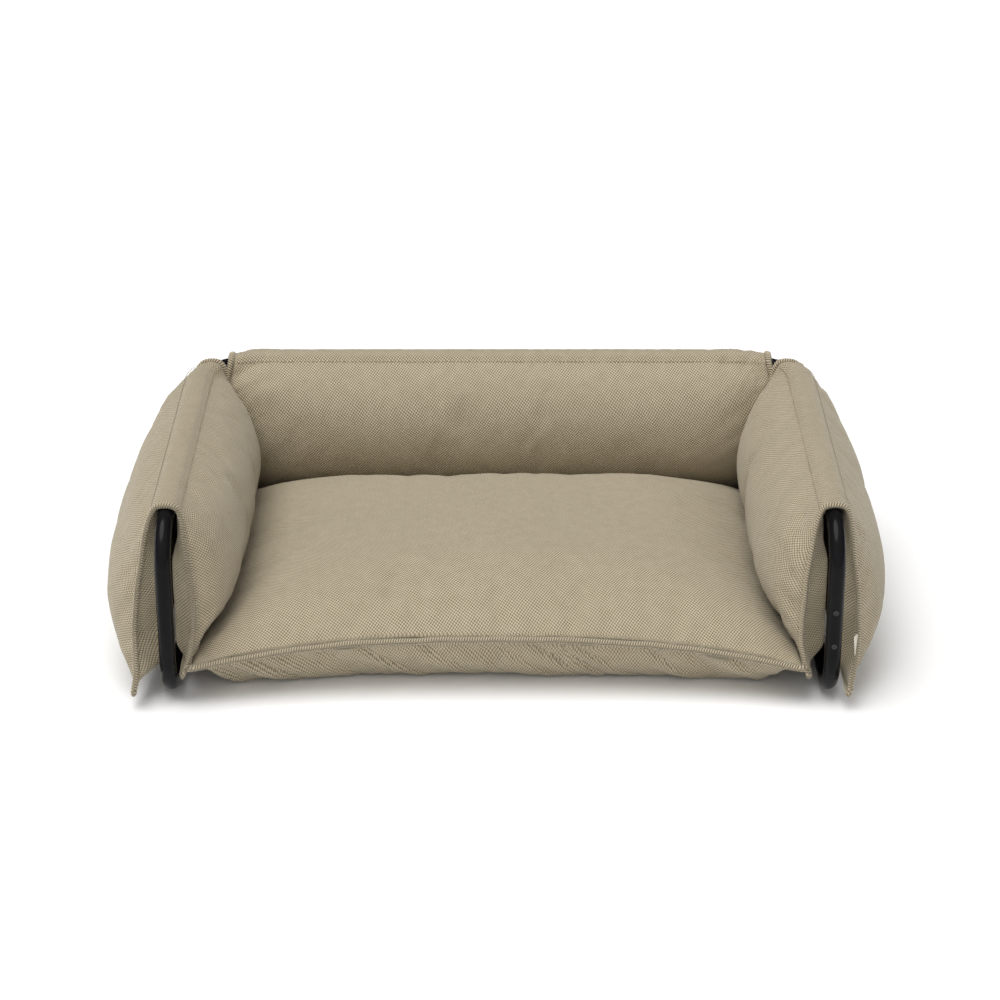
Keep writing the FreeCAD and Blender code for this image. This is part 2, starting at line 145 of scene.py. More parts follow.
def new_mesh(name, points, faces, uv=None):
    """A mesh object from points and faces, smooth shaded, with a cloth UV map in metres if given."""
    mesh = bpy.data.meshes.new(name)
    mesh.from_pydata([tuple(p) for p in points], [], [tuple(f) for f in faces])
    if uv is not None:
        layer = mesh.uv_layers.new(name="cloth")
        corners = np.array([i for f in faces for i in f])
        layer.data.foreach_set("uv", np.asarray(uv, np.float32)[corners].ravel())
    mesh.polygons.foreach_set("use_smooth", np.ones(len(mesh.polygons), bool))
    mesh.update()
    piece = bpy.data.objects.new(name, mesh)
    bpy.context.collection.objects.link(piece)
    return piece


def read_points(piece):
    points = np.zeros(len(piece.data.vertices) * 3, np.float32)
    piece.data.vertices.foreach_get("co", points)
    return points.reshape(-1, 3).astype(float)


def read_normals(piece):
    normals = np.zeros(len(piece.data.vertices) * 3, np.float32)
    piece.data.vertices.foreach_get("normal", normals)
    return normals.reshape(-1, 3).astype(float)


def write_points(piece, points):
    piece.data.vertices.foreach_set("co", np.asarray(points, np.float32).ravel())
    piece.data.update()


def face_outward(piece):
    """Makes a closed mesh's faces all point outward."""
    work = bmesh.new()
    work.from_mesh(piece.data)
    bmesh.ops.recalc_face_normals(work, faces=work.faces)
    if work.calc_volume(signed=True) < 0:
        bmesh.ops.reverse_faces(work, faces=work.faces)
    work.to_mesh(piece.data)
    work.free()
    piece.data.update()


def two_layers(front, behind, rim):
    """Vertex numbers and faces for two grids of the same shape that share the vertices where rim is true."""
    rows, columns = rim.shape
    over = np.arange(rows * columns).reshape(rows, columns)
    under = over.copy()
    free = ~rim
    under[free] = rows * columns + np.arange(free.sum())
    points = np.concatenate([front.reshape(-1, 3), behind[free]])
    faces = np.concatenate([grid_quads(over), grid_quads(under)[:, [0, 3, 2, 1]]])
    return points, faces, over, under


CLOTH = {
    "quality": 6,
    "mass": 0.25,
    "tension_stiffness": 18,
    "compression_stiffness": 18,
    "shear_stiffness": 4,
    "bending_stiffness": 0.35,
    "air_damping": 3,
    "tension_damping": 12,
    "compression_damping": 12,
    "shear_damping": 8,
}


def inflate(piece, pinned, pressure, surplus, steps, cap):
    """Swells closed cloth round its pinned points, as fibre filling does. No point moves further than cap."""
    start = read_points(piece)
    group = piece.vertex_groups.new(name="pin")
    for weight in np.unique(pinned):
        if weight > 0:
            group.add([int(i) for i in np.flatnonzero(pinned == weight)], float(weight), "REPLACE")
    cloth = piece.modifiers.new("cloth", "CLOTH")
    cloth.point_cache.frame_start = 1
    cloth.point_cache.frame_end = steps
    settings = cloth.settings
    for key, value in CLOTH.items():
        setattr(settings, key, value)
    settings.use_pressure = True
    settings.uniform_pressure_force = pressure
    settings.shrink_min = -surplus
    settings.vertex_group_mass = "pin"
    settings.effector_weights.gravity = 0
    cloth.collision_settings.use_collision = False
    for step in range(1, steps + 1):
        bpy.context.scene.frame_set(step)
    settled = piece.evaluated_get(bpy.context.evaluated_depsgraph_get()).to_mesh()
    end = np.zeros(len(start) * 3, np.float32)
    settled.vertices.foreach_get("co", end)
    piece.modifiers.remove(cloth)
    piece.vertex_groups.clear()
    bpy.context.scene.frame_set(1)
    move = end.reshape(-1, 3) - start
    length = np.linalg.norm(move, axis=1, keepdims=True)
    write_points(piece, start + move * np.minimum(1, cap / np.maximum(length, 1e-9)))


def apply_modifiers(piece):
    baked = bpy.data.meshes.new_from_object(piece.evaluated_get(bpy.context.evaluated_depsgraph_get()))
    piece.modifiers.clear()
    old = piece.data
    piece.data = baked
    bpy.data.meshes.remove(old)


def subdivide(piece):
    modifier = piece.modifiers.new("subdivision", "SUBSURF")
    modifier.levels = modifier.render_levels = 1
    modifier.boundary_smooth = "PRESERVE_CORNERS"
    apply_modifiers(piece)


def thicken(piece, thickness, offset=-1.0):
    """Gives a sheet its thickness. offset is -1 behind its faces and 0 on both sides."""
    modifier = piece.modifiers.new("thickness", "SOLIDIFY")
    modifier.thickness = thickness
    modifier.offset = offset
    apply_modifiers(piece)


# ---------------------------------------------------------------- seams and stitches
SERGE_WIDE = 0.0045
SERGE_THIN = 0.0037
SERGE_STEP = 0.0011
SERGE_PITCH = 0.0034
SERGE_SIDES = 10
SERGE_RIDGE = 0.20  # how far the cord swells and thins at each loop of thread, as a share
SERGE_REACH = 0.5  # how far the cord's centre stands out from the seam, as a share of its half width
SERGE_AROUND = 0.012  # round the cord, on the cloth map


def spaced(line, step, closed=False, values=None):
    """The line, or the values given at its points, read off again at places about step apart."""
    values = line if values is None else values
    if closed:
        line, values = np.concatenate([line, line[:1]]), np.concatenate([values, values[:1]])
    along = distances(line)
    at = np.linspace(0, along[-1], max(3, int(along[-1] / step) + 1))
    return np.stack([np.interp(at, along, values[:, k]) for k in range(3)], axis=1), at


def softened(line, times, closed=False):
    for _ in range(times):
        if closed:
            line = (np.roll(line, 1, 0) + 2 * line + np.roll(line, -1, 0)) / 4
        else:
            line = np.concatenate([line[:1], (line[:-2] + 2 * line[1:-1] + line[2:]) / 4, line[-1:]])
    return line


def serged_edge(name, line, outward, closed=False):
    """An overlocked seam: a slightly flat cord of wrapped thread, with a ridge for each stitch."""
    outward, _ = spaced(line, SERGE_STEP, closed, outward)
    line, at = spaced(line, SERGE_STEP, closed)
    if closed:
        line, at, outward = line[:-1], at[:-1], outward[:-1]
    tangent = np.roll(line, -1, 0) - np.roll(line, 1, 0)
    if not closed:
        tangent[0], tangent[-1] = line[1] - line[0], line[-1] - line[-2]
    tangent /= np.linalg.norm(tangent, axis=1, keepdims=True)
    outward -= tangent * (outward * tangent).sum(1, keepdims=True)
    outward /= np.maximum(np.linalg.norm(outward, axis=1, keepdims=True), 1e-9)
    side = np.cross(tangent, outward)
    around = np.linspace(0, 2 * math.pi, SERGE_SIDES, endpoint=False)
    wave = np.sin(2 * math.pi * at[:, None] / SERGE_PITCH + 2 * around[None, :])
    swell = 1 + SERGE_RIDGE * wave
    wide = (np.cos(around)[None, :] * SERGE_WIDE * swell)[..., None] * outward[:, None, :]
    thin = (np.sin(around)[None, :] * SERGE_THIN * swell)[..., None] * side[:, None, :]
    rings = line[:, None, :] + outward[:, None, :] * SERGE_WIDE * SERGE_REACH + wide + thin
    count, sides = rings.shape[:2]
    numbers = np.arange(count * sides).reshape(count, sides)
    ahead = np.roll(numbers, -1, 0) if closed else numbers[1:]
    here = numbers if closed else numbers[:-1]
    quads = np.stack([here, np.roll(here, -1, 1), np.roll(ahead, -1, 1), ahead], -1).reshape(-1, 4)
    faces = [tuple(q) for q in quads]
    if not closed:
        faces += [tuple(numbers[0][::-1]), tuple(numbers[-1])]
    uv = np.stack([np.repeat(at, sides), np.tile(around / (2 * math.pi) * SERGE_AROUND, count)], -1)
    piece = new_mesh(name, rings.reshape(-1, 3), faces, uv)
    face_outward(piece)
    return piece


def stitch_row(name, line, normal, length=0.0042, gap=0.0016, radius=0.00055):
    """A row of thread stitches lying on cloth along a line."""
    line, at = spaced(line, (length + gap) / 4)
    points, faces = [], []
    ring = [(math.cos(a), math.sin(a)) for a in np.linspace(0, 2 * math.pi, 6, endpoint=False)]
    rise = (-0.4, 0.75, 0.75, -0.4)
    for start in range(0, len(line) - 4, 4):
        stretch = line[start : start + 4]
        along = stretch[-1] - stretch[0]
        along /= max(np.linalg.norm(along), 1e-9)
        up = np.array(normal(stretch[0]), float)
        up -= along * up.dot(along)
        up /= np.linalg.norm(up)
        across = np.cross(along, up)
        base = len(points)
        for k, share in enumerate((0.0, 0.3, 0.7, 1.0)):
            centre = stretch[0] + along * length * share + up * radius * rise[k]
            thick = radius * (0.55 if k in (0, 3) else 1.0)
            points += [centre + across * c * thick + up * s * thick for c, s in ring]
        for k in range(3):
            for j in range(6):
                a, b = base + 6 * k + j, base + 6 * k + (j + 1) % 6
                faces.append((a, b, b + 6, a + 6))
        faces.append(tuple(base + j for j in reversed(range(6))))
        faces.append(tuple(base + 18 + j for j in range(6)))
    piece = new_mesh(name, points, faces)
    face_outward(piece)
    return piece


# ---------------------------------------------------------------- materials
class Nodes:
    """Short names for building a node material."""

    def __init__(self, name):
        self.material = bpy.data.materials.new(name)
        self.material.use_nodes = True
        self.tree = self.material.node_tree
        self.shader = self.tree.nodes["Principled BSDF"]

    def add(self, kind, **settings):
        node = self.tree.nodes.new(kind)
        for key, value in settings.items():
            setattr(node, key, value)
        return node

    def link(self, source, target):
        self.tree.links.new(source, target)

    def value(self, socket, given):
        if isinstance(given, bpy.types.NodeSocket):
            self.link(given, socket)
        else:
            socket.default_value = given

    def math(self, operation, first, second=0.0, third=0.0):
        node = self.add("ShaderNodeMath", operation=operation)
        for socket, given in zip(node.inputs, (first, second, third)):
            self.value(socket, given)
        return node.outputs[0]

    def noise(self, vector, scale, detail=3.0, roughness=0.55):
        node = self.add("ShaderNodeTexNoise")
        self.link(vector, node.inputs["Vector"])
        node.inputs["Scale"].default_value = scale
        node.inputs["Detail"].default_value = detail
        node.inputs["Roughness"].default_value = roughness
        return node.outputs["Fac"]

    def spread(self, factor, low, high, to_low=0.0, to_high=1.0):
        node = self.add("ShaderNodeMapRange")
        self.link(factor, node.inputs["Value"])
        for key, given in (("From Min", low), ("From Max", high), ("To Min", to_low), ("To Max", to_high)):
            node.inputs[key].default_value = given
        return node.outputs[0]

    def mix(self, factor, first, second, blend="MIX"):
        node = self.add("ShaderNodeMix", data_type="RGBA", blend_type=blend)
        self.value(node.inputs[0], factor)
        for socket, given in ((node.inputs[6], first), (node.inputs[7], second)):
            self.value(socket, given if isinstance(given, bpy.types.NodeSocket) else (*given, 1.0))
        return node.outputs[2]

    def bump(self, height, strength, distance, under=None):
        node = self.add("ShaderNodeBump")
        self.link(height, node.inputs["Height"])
        node.inputs["Strength"].default_value = strength
        node.inputs["Distance"].default_value = distance
        if under is not None:
            self.link(under, node.inputs["Normal"])
        return node.outputs["Normal"]


KHAKI_LIGHT = (0.560, 0.478, 0.335)
# Painted shade: the darkest khaki colours the pits between the weave's raised dots.
KHAKI_PIT_SHADE = (0.066, 0.052, 0.028)
KHAKI_GREEN = (0.290, 0.258, 0.165)
KHAKI_PALE = (0.62, 0.54, 0.42)
YARN_LIGHT = (0.540, 0.460, 0.325)
# Painted shade: the darkest yarn colour fills the slits between the serging's loops.
YARN_SLIT_SHADE = (0.085, 0.066, 0.038)
WEAVE_PITCH = 0.0030


def weave_material(name, lean=1.0, light=KHAKI_LIGHT, dark=KHAKI_PIT_SHADE, pitch=WEAVE_PITCH):
    """Coarse hopsack twill: small raised dots in slanting ridges, which rise to the right where lean is 1."""
    n = Nodes(name)
    place = n.add("ShaderNodeUVMap", uv_map="cloth").outputs["UV"]
    drift = n.add("ShaderNodeTexNoise")
    n.link(place, drift.inputs["Vector"])
    drift.inputs["Scale"].default_value = 60.0
    drift.inputs["Detail"].default_value = 2.0
    offset = n.add("ShaderNodeVectorMath", operation="MULTIPLY_ADD")
    n.link(drift.outputs["Color"], offset.inputs[0])
    offset.inputs[1].default_value = (pitch * 0.55,) * 3
    n.link(place, offset.inputs[2])
    parts = n.add("ShaderNodeSeparateXYZ")
    n.link(offset.outputs[0], parts.inputs[0])
    x, y = parts.outputs[0], parts.outputs[1]
    turn = 2 * math.pi / pitch
    across = n.math("MULTIPLY_ADD", x, -0.78 * turn * lean, n.math("MULTIPLY", y, 0.62 * turn))
    along = n.math("MULTIPLY_ADD", x, 0.55 * turn * lean, n.math("MULTIPLY", y, 0.86 * turn))
    ridge = n.math("MULTIPLY_ADD", n.math("SINE", across), 0.5, 0.5)
    knot = n.math("MULTIPLY_ADD", n.math("SINE", along), 0.5, 0.5)
    ridge = n.math("MULTIPLY_ADD", ridge, 0.75, 0.25)
    knot = n.math("MULTIPLY_ADD", knot, 0.7, 0.3)
    height = n.math("MULTIPLY", ridge, knot)
    fuzz = n.noise(place, 1500.0, 2.0)
    height = n.math("MULTIPLY_ADD", fuzz, 0.34, n.math("MULTIPLY", height, 0.90))
    world = n.add("ShaderNodeTexCoord").outputs["Object"]
    cloudy = n.spread(n.noise(world, 7.0, 4.0, 0.6), 0.35, 0.68)
    slub = n.spread(n.noise(place, 60.0, 3.0, 0.6), 0.3, 0.7)
    # The colour falls to the darkest khaki where the weave is low: painted shade in the pits between the
    # raised dots.
    tone = n.mix(n.spread(height, 0.22, 0.68), dark, light)
    tone = n.mix(n.math("MULTIPLY", cloudy, 0.20), tone, KHAKI_GREEN)
    tone = n.mix(n.math("MULTIPLY", slub, 0.13), tone, KHAKI_PALE)
    n.link(tone, n.shader.inputs["Base Color"])
    crumple = n.bump(n.noise(place, 130.0, 3.0), 0.25, 0.0012)
    n.link(n.bump(height, 0.9, 0.0010, crumple), n.shader.inputs["Normal"])
    n.link(n.spread(height, 0.1, 0.9, 0.95, 0.8), n.shader.inputs["Roughness"])
    n.shader.inputs["Sheen Weight"].default_value = 0.32
    n.shader.inputs["Sheen Roughness"].default_value = 0.45
    n.shader.inputs["Sheen Tint"].default_value = (0.95, 0.9, 0.82, 1.0)
    n.shader.inputs["Specular IOR Level"].default_value = 0.18
    return n.material


def thread_material(name, light, dark):
    """Wrapped sewing thread."""
    n = Nodes(name)
    world = n.add("ShaderNodeTexCoord").outputs["Object"]
    strands = n.noise(world, 1400.0, 3.0)
    n.link(n.mix(n.spread(strands, 0.3, 0.7), dark, light), n.shader.inputs["Base Color"])
    n.link(n.bump(strands, 0.5, 0.0004), n.shader.inputs["Normal"])
    n.shader.inputs["Roughness"].default_value = 0.85
    n.shader.inputs["Sheen Weight"].default_value = 0.25
    n.shader.inputs["Specular IOR Level"].default_value = 0.2
    return n.material


def serge_material():
    """Overlock stitching: loops of thick yarn side by side, with painted shade in the slits between them."""
    n = Nodes("serging_yarn")
    place = n.add("ShaderNodeUVMap", uv_map="cloth").outputs["UV"]
    parts = n.add("ShaderNodeSeparateXYZ")
    n.link(place, parts.inputs[0])
    slant = n.math("MULTIPLY", parts.outputs[1], 4 * math.pi / SERGE_AROUND)
    turn = n.math("MULTIPLY_ADD", parts.outputs[0], 2 * math.pi / SERGE_PITCH, slant)
    loops = n.math("MULTIPLY_ADD", n.math("SINE", turn), 0.5, 0.5)
    fuzz = n.noise(place, 1800.0, 2.0)
    height = n.math("MULTIPLY_ADD", fuzz, 0.4, n.math("MULTIPLY", loops, 0.8))
    # Painted shade: the low places between the loops take the darkest yarn colour.
    tone = n.mix(n.spread(height, 0.15, 0.85), YARN_SLIT_SHADE, YARN_LIGHT)
    n.link(tone, n.shader.inputs["Base Color"])
    n.link(n.bump(height, 0.9, 0.0010), n.shader.inputs["Normal"])
    n.shader.inputs["Roughness"].default_value = 0.9
    n.shader.inputs["Sheen Weight"].default_value = 0.25
    n.shader.inputs["Specular IOR Level"].default_value = 0.15
    return n.material


def powder_coat_material():
    """Black satin powder coat, with its fine orange peel and a little wear."""
    n = Nodes("powder_coat")
    world = n.add("ShaderNodeTexCoord").outputs["Object"]
    peel = n.noise(world, 1300.0, 2.0)
    cloud = n.noise(world, 22.0, 3.0)
    tone = n.mix(n.spread(cloud, 0.3, 0.7), (0.0035, 0.0035, 0.004), (0.006, 0.006, 0.007))
    n.link(tone, n.shader.inputs["Base Color"])
    n.link(n.spread(cloud, 0.3, 0.7, 0.15, 0.20), n.shader.inputs["Roughness"])
    n.link(n.bump(peel, 0.12, 0.0002), n.shader.inputs["Normal"])
    n.shader.inputs["Specular IOR Level"].default_value = 0.11
    return n.material


def speckled_material(name, dark, light, scale, low_rough, high_rough, metallic=0.0, bump=0.15):
    """A plain hard or rubbery surface with fine grain."""
    n = Nodes(name)
    world = n.add("ShaderNodeTexCoord").outputs["Object"]
    grain = n.noise(world, scale, 3.0)
    n.link(n.mix(n.spread(grain, 0.3, 0.7), dark, light), n.shader.inputs["Base Color"])
    n.link(n.spread(grain, 0.3, 0.7, low_rough, high_rough), n.shader.inputs["Roughness"])
    n.link(n.bump(grain, bump, 0.0002), n.shader.inputs["Normal"])
    n.shader.inputs["Metallic"].default_value = metallic
    return n.material


COIL_PITCH = 0.0014


def coil_material():
    """Zip coil: close ridges across its length, with painted shade in the hollows between them."""
    n = Nodes("zip_coil_ridge_shade")
    world = n.add("ShaderNodeTexCoord").outputs["Object"]
    parts = n.add("ShaderNodeSeparateXYZ")
    n.link(world, parts.inputs[0])
    turn = n.math("MULTIPLY", parts.outputs[0], 2 * math.pi / COIL_PITCH)
    ridge = n.math("MULTIPLY_ADD", n.math("SINE", turn), 0.5, 0.5)
    # Painted shade: the colour darkens in the hollows between the coil's ridges.
    n.link(n.mix(ridge, (0.10, 0.08, 0.05), (0.34, 0.28, 0.20)), n.shader.inputs["Base Color"])
    n.link(n.bump(ridge, 0.8, 0.0005), n.shader.inputs["Normal"])
    n.shader.inputs["Roughness"].default_value = 0.4
    return n.material


WEAVE_RIGHT = weave_material("khaki_weave", 1.0)
WEAVE_LEFT = weave_material("khaki_weave_crossing", -1.0)
SERGE = serge_material()
STITCH = thread_material("stitch_thread", (0.36, 0.30, 0.20), (0.22, 0.18, 0.12))


def dress(piece, material):
    piece.data.materials.clear()
    piece.data.materials.append(material)


# ---------------------------------------------------------------- the folded flaps
LIFTED = 0.002  # the glides hold the lower rails this far above the floor
HEART = TUBE + 0.0016  # the hidden faces of the pads lie this far from a rail's centre plane
EDGE = 0.0011  # half the quilt's thickness along a seam or a stitch line
CHANNEL_HALF = 0.018  # from a rail's centre plane to each of the channel's stitch lines
CHANNEL_RISE = 0.008  # of those stitch lines above the rail's axis
CHANNEL_CROWN = 0.0075
CHANNEL_FILL = 0.0026
FRONT_SOFTNESS = 0.045  # how far from its front seam a pad reaches most of its swell
REAR_SOFTNESS = 0.026
SHOULDER = 0.010  # how far a pad rises above its stitch line
ARM_DRAPE = 0.008  # how far a hem is drawn up between its corners
BACK_DRAPE = 0.004


def at_shares(shares, values):
    return list(zip(shares, values))


# The shares run from a pad's stitch line (0) to its hem (1). An offset is the seam plane's distance from the
# rail's centre plane, a height is above the floor, and a face is the swell off the seam plane.
INNER_SHARES = (0, 0.1, 0.28, 0.43, 0.58, 0.68, 0.8, 0.9, 1)
OUTER_SHARES = (0, 0.08, 0.26, 0.41, 0.56, 0.63, 0.77, 0.87, 1)
INNER_FACE_SHARES = (0, 0.04, 0.1, 0.28, 0.43, 0.58, 0.68, 0.8, 0.9, 1)
OUTER_FACE_SHARES = (0, 0.04, 0.1, 0.26, 0.41, 0.56, 0.7, 0.85, 0.95, 1)
BACK_SHARES = (0, 0.1, 0.3, 0.5, 0.7, 0.85, 1)
INNER_SEAM_OFFSET = at_shares(INNER_SHARES, (0.018, 0.023, 0.029, 0.033, 0.036, 0.036, 0.031, 0.025, 0.016))
RIGHT_INNER_SEAM_OFFSET = at_shares(
    INNER_SHARES, (0.018, 0.025, 0.032, 0.036, 0.039, 0.040, 0.038, 0.034, 0.028)
)
INNER_SEAM_HEIGHT = at_shares(INNER_SHARES, (0.260, 0.238, 0.198, 0.163, 0.129, 0.107, 0.081, 0.059, 0.040))
INNER_FACE = at_shares(INNER_FACE_SHARES, (0, 0.011, 0.025, 0.045, 0.052, 0.050, 0.043, 0.030, 0.015, 0))
OUTER_SEAM_OFFSET = at_shares(OUTER_SHARES, (0.018, 0.025, 0.032, 0.038, 0.042, 0.044, 0.043, 0.042, 0.046))
RIGHT_OUTER_SEAM_OFFSET = at_shares(
    OUTER_SHARES, (0.018, 0.022, 0.027, 0.031, 0.034, 0.035, 0.033, 0.028, 0.023)
)
OUTER_SEAM_HEIGHT = at_shares(OUTER_SHARES, (0.260, 0.240, 0.195, 0.161, 0.123, 0.107, 0.074, 0.051, 0.024))
OUTER_FACE = at_shares(OUTER_FACE_SHARES, (0, 0.005, 0.012, 0.025, 0.035, 0.040, 0.040, 0.030, 0.014, 0))
BACK_OUTER_SEAM_OFFSET = at_shares(BACK_SHARES, (0.018, 0.024, 0.032, 0.038, 0.038, 0.031, 0.023))


def section_rows(outer_offset, outer_swell=1.0, inner_offset=INNER_SEAM_OFFSET, per_pad=30, over_rail=9):
    """Rows of a folded flap, from the inner hem over the rail to the outer hem."""
    down = eased_spacing(per_pad, 0.25)
    inner, outer = down[::-1], down
    over = np.linspace(1, -1, over_rail + 2)[1:-1]
    return {
        "side": np.concatenate([np.ones(per_pad), np.zeros(over_rail), -np.ones(per_pad)]),
        "share": np.concatenate([inner, np.zeros(over_rail), outer]),
        "offset": np.concatenate([
            through(inner_offset, inner),
            CHANNEL_HALF * over,
            -through(outer_offset, outer),
        ]),
        "height": np.concatenate([
            through(INNER_SEAM_HEIGHT, inner),
            RAIL_Z + CHANNEL_RISE + CHANNEL_CROWN * np.sqrt(1 - over**2),
            through(OUTER_SEAM_HEIGHT, outer),
        ]),
        "swell": np.concatenate([
            through(INNER_FACE, inner),
            CHANNEL_FILL * (1 - over**4),
            outer_swell * through(OUTER_FACE, outer),
        ]),
    }


def wobble(points, seed, amount=0.0016):
    """How a sewn seam strays from its line."""
    return np.stack([amount * wander(points, 0.034, seed + k) for k in range(3)], -1)


def pucker(piece, seam, seed, depth=0.0016, reach=0.030, pitch=0.013, lean=0.0, start=0.0035, where=None):
    """Short creases that run from a seam into the cloth, as sewing and filling leave them."""
    tree = KDTree(len(seam))
    for i, point in enumerate(seam):
        tree.insert(point, i)
    tree.balance()
    along = distances(seam)
    points = read_points(piece)
    normals = read_normals(piece)
    found = [tree.find(p) for p in points]
    away = np.array([f[2] for f in found])
    place = along[np.array([f[1] for f in found])]
    leant = place + lean * away
    wave = wander(np.stack([leant / pitch, away / (5 * pitch), away * 0], -1), 1.0, seed)
    long_wave = wander(np.stack([leant / (3.2 * pitch), away / (9 * pitch), away * 0], -1), 1.0, seed + 9)
    crease = np.clip(1 - 2.6 * np.abs(wave), 0, 1) ** 1.5
    crease += 0.7 * np.clip(1 - 3.5 * np.abs(long_wave), 0, 1) ** 1.5
    fade = np.exp(-away / reach) * (1 - np.exp(-away / start))
    if where is not None:
        fade = fade * where(points, normals)
    write_points(piece, points + normals * (depth * fade * (0.35 - crease + 0.5 * wave))[:, None])


OUTER_SWELL = {"left": 1.13, "right": 1.04}
ARM_SEAMS = {
    "left": (INNER_SEAM_OFFSET, OUTER_SEAM_OFFSET),
    "right": (RIGHT_INNER_SEAM_OFFSET, RIGHT_OUTER_SEAM_OFFSET),
}
ARM_ROOM = 0.0068  # how far an arm's pads may swell past the tube's side, between the rails


class Flap:
    """One flap of the quilt as one closed cloth: an inner pad, the channel over the rail and an outer pad."""

    def __init__(self, name, rows, near, far, place, unplace, softness, room, drape, seed, step=0.0075):
        self.name, self.place, self.unplace, self.room = name, place, unplace, room
        side, share = rows["side"], rows["share"]
        length = far["outer"][0][1] - near["outer"][0][1]
        columns = int(length / step) + 1
        v = eased_spacing(columns, 0.15)
        start = np.where(side > 0, through(near["inner"], share), through(near["outer"], share))
        end = np.where(side > 0, through(far["inner"], share), through(far["outer"], share))
        along = start[:, None] * (1 - v) + end[:, None] * v
        from_start, from_end = along - start[:, None], end[:, None] - along
        fullness = (1 - np.exp(-from_start / softness[0])) * (1 - np.exp(-from_end / softness[1]))
        in_pad = side != 0
        offset = np.repeat(rows["offset"][:, None], columns, 1)
        height = np.repeat(rows["height"][:, None], columns, 1)
        # A hem is drawn up between its corners.
        rise = np.where(in_pad, drape * share**4, 0)[:, None] * (1 - np.abs(2 * v - 1) ** 2.5)[None, :]
        height = height + rise
        swell = rows["swell"][:, None]
        ends = np.clip(np.minimum(from_start, from_end) / 0.012, 0, 1) ** 0.5
        flat = np.stack([along, height, offset * 0], -1).reshape(-1, 3)
        lump = 1 + 0.06 * wander(flat, 0.11, seed).reshape(along.shape)
        out_a = np.where(in_pad[:, None], np.sign(side)[:, None] * (EDGE * ends + swell * fullness * lump), 0)
        shoulder = SHOULDER * np.sin(math.pi * np.clip(share / 0.3, 0, 1))[:, None] * fullness
        out_z = np.where(in_pad[:, None], shoulder, EDGE * ends + swell * ends)
        face = np.stack([offset + out_a, along, height + out_z], -1)
        free = self.free(np.stack([offset, along, height], -1).reshape(-1, 3)).reshape(offset.shape)
        hidden_a = np.where(in_pad[:, None], side[:, None] * (HEART - free), offset)
        pull = np.clip(share / 0.06, 0, 1) * np.clip((1 - share) / 0.12, 0, 1)
        pull = np.where(share > 0, pull, 0)[:, None] * np.clip(np.minimum(from_start, from_end) / 0.03, 0, 1)
        hidden_a = offset + (hidden_a - offset) * pull - (side * EDGE)[:, None] * (1 - pull)
        hidden_z = height - np.where(in_pad[:, None], 0, EDGE * ends + 0.8 * swell * ends)
        hidden = np.stack([hidden_a, along, hidden_z], -1)
        rim = border_of(along.shape)
        seam = np.stack([offset, along, height], -1)
        face[rim] = seam[rim] + wobble(seam[rim], seed)
        points, faces, self.over, self.under = two_layers(face, hidden, rim)
        self.side, self.share, self.rim = side, share, rim
        path = np.concatenate([[0], np.cumsum(np.hypot(np.diff(rows["offset"]), np.diff(rows["height"])))])
        uv = np.stack([along, np.repeat(path[:, None], columns, 1)], -1)
        uv = np.concatenate([uv.reshape(-1, 2), uv[~rim]])
        self.local = points
        self.guard()
        self.piece = new_mesh(name, place(self.local), faces, uv)
        face_outward(self.piece)

    def free(self, p):
        """How far a pad may swell past the tube's side at each point, between the upper and lower rails."""
        steps = ((p[:, 2] - 0.042) / 0.03, (0.215 - p[:, 2]) / 0.03, (p[:, 1] - LEG_Y - 0.024) / 0.03)
        room = np.full(len(p), self.room)
        for step in steps:
            room *= eased(step)
        return room

    def guard(self):
        """Keeps the cloth on its side of the rail, off the rail itself, and off the floor."""
        side = np.zeros(len(self.local))
        grid_side = np.repeat(self.side[:, None], self.over.shape[1], 1)
        side[self.over.ravel()] = grid_side.ravel()
        side[self.under.ravel()] = grid_side.ravel()
        p = self.local
        pads = side != 0
        least = HEART - 0.0006 - self.free(p)
        p[pads, 0] = side[pads] * np.maximum(side[pads] * p[pads, 0], least[pads])
        reach = np.hypot(p[:, 0], p[:, 2] - RAIL_Z)
        tight = (reach < TUBE + 0.0008) & (p[:, 2] > RAIL_Z)
        push = (TUBE + 0.0008) / np.maximum(reach, 1e-6)
        p[tight, 0] *= push[tight]
        p[tight, 2] = RAIL_Z + (p[tight, 2] - RAIL_Z) * push[tight]
        p[:, 2] = np.maximum(p[:, 2], 0.014)

    def settle(self, pressure=2.0, surplus=0.020, steps=22, cap=0.012):
        held = np.zeros(len(self.local))
        rows = (self.side == 0) | (self.share <= 0.001)
        grid = (rows[:, None] | self.rim).astype(float)
        held[self.over.ravel()] = grid.ravel()
        held[self.under.ravel()] = np.maximum(held[self.under.ravel()], grid.ravel())
        inflate(self.piece, held, pressure, surplus, steps, cap)
        self.local = self.unplace(read_points(self.piece))
        self.guard()
        write_points(self.piece, self.place(self.local))

    def edge(self):
        """The seam line all round the flap, and the way out of the cloth at each of its points."""
        rows, columns = self.over.shape
        ring = self.local[ring_of(self.over)]
        out = [(0, 0, -1)] * columns + [(0, 1, 0)] * (rows - 1)
        out += [(0, 0, -1)] * (columns - 1) + [(0, -1, 0)] * (rows - 2)
        line = self.place(ring)
        moved = self.place(ring + np.array(out, float) * 0.002) - line
        return softened(line, 2, True), softened(moved, 4, True)

    def stitch_line(self, side):
        """The line on the cloth's face where the channel is sewn."""
        row = np.flatnonzero((self.side == side) & (self.share <= 0.001))[0]
        line = self.local[self.over[row, 1:-1]] + np.array([side * 0.0006, 0, 0.0008])
        return self.place(line)


def rail_turn(past):
    """How far a rail has turned inward, at that distance past the start of its rear bend."""
    past = np.clip(past, 0, CORNER * 0.9)
    return CORNER - np.sqrt(CORNER**2 - past**2)


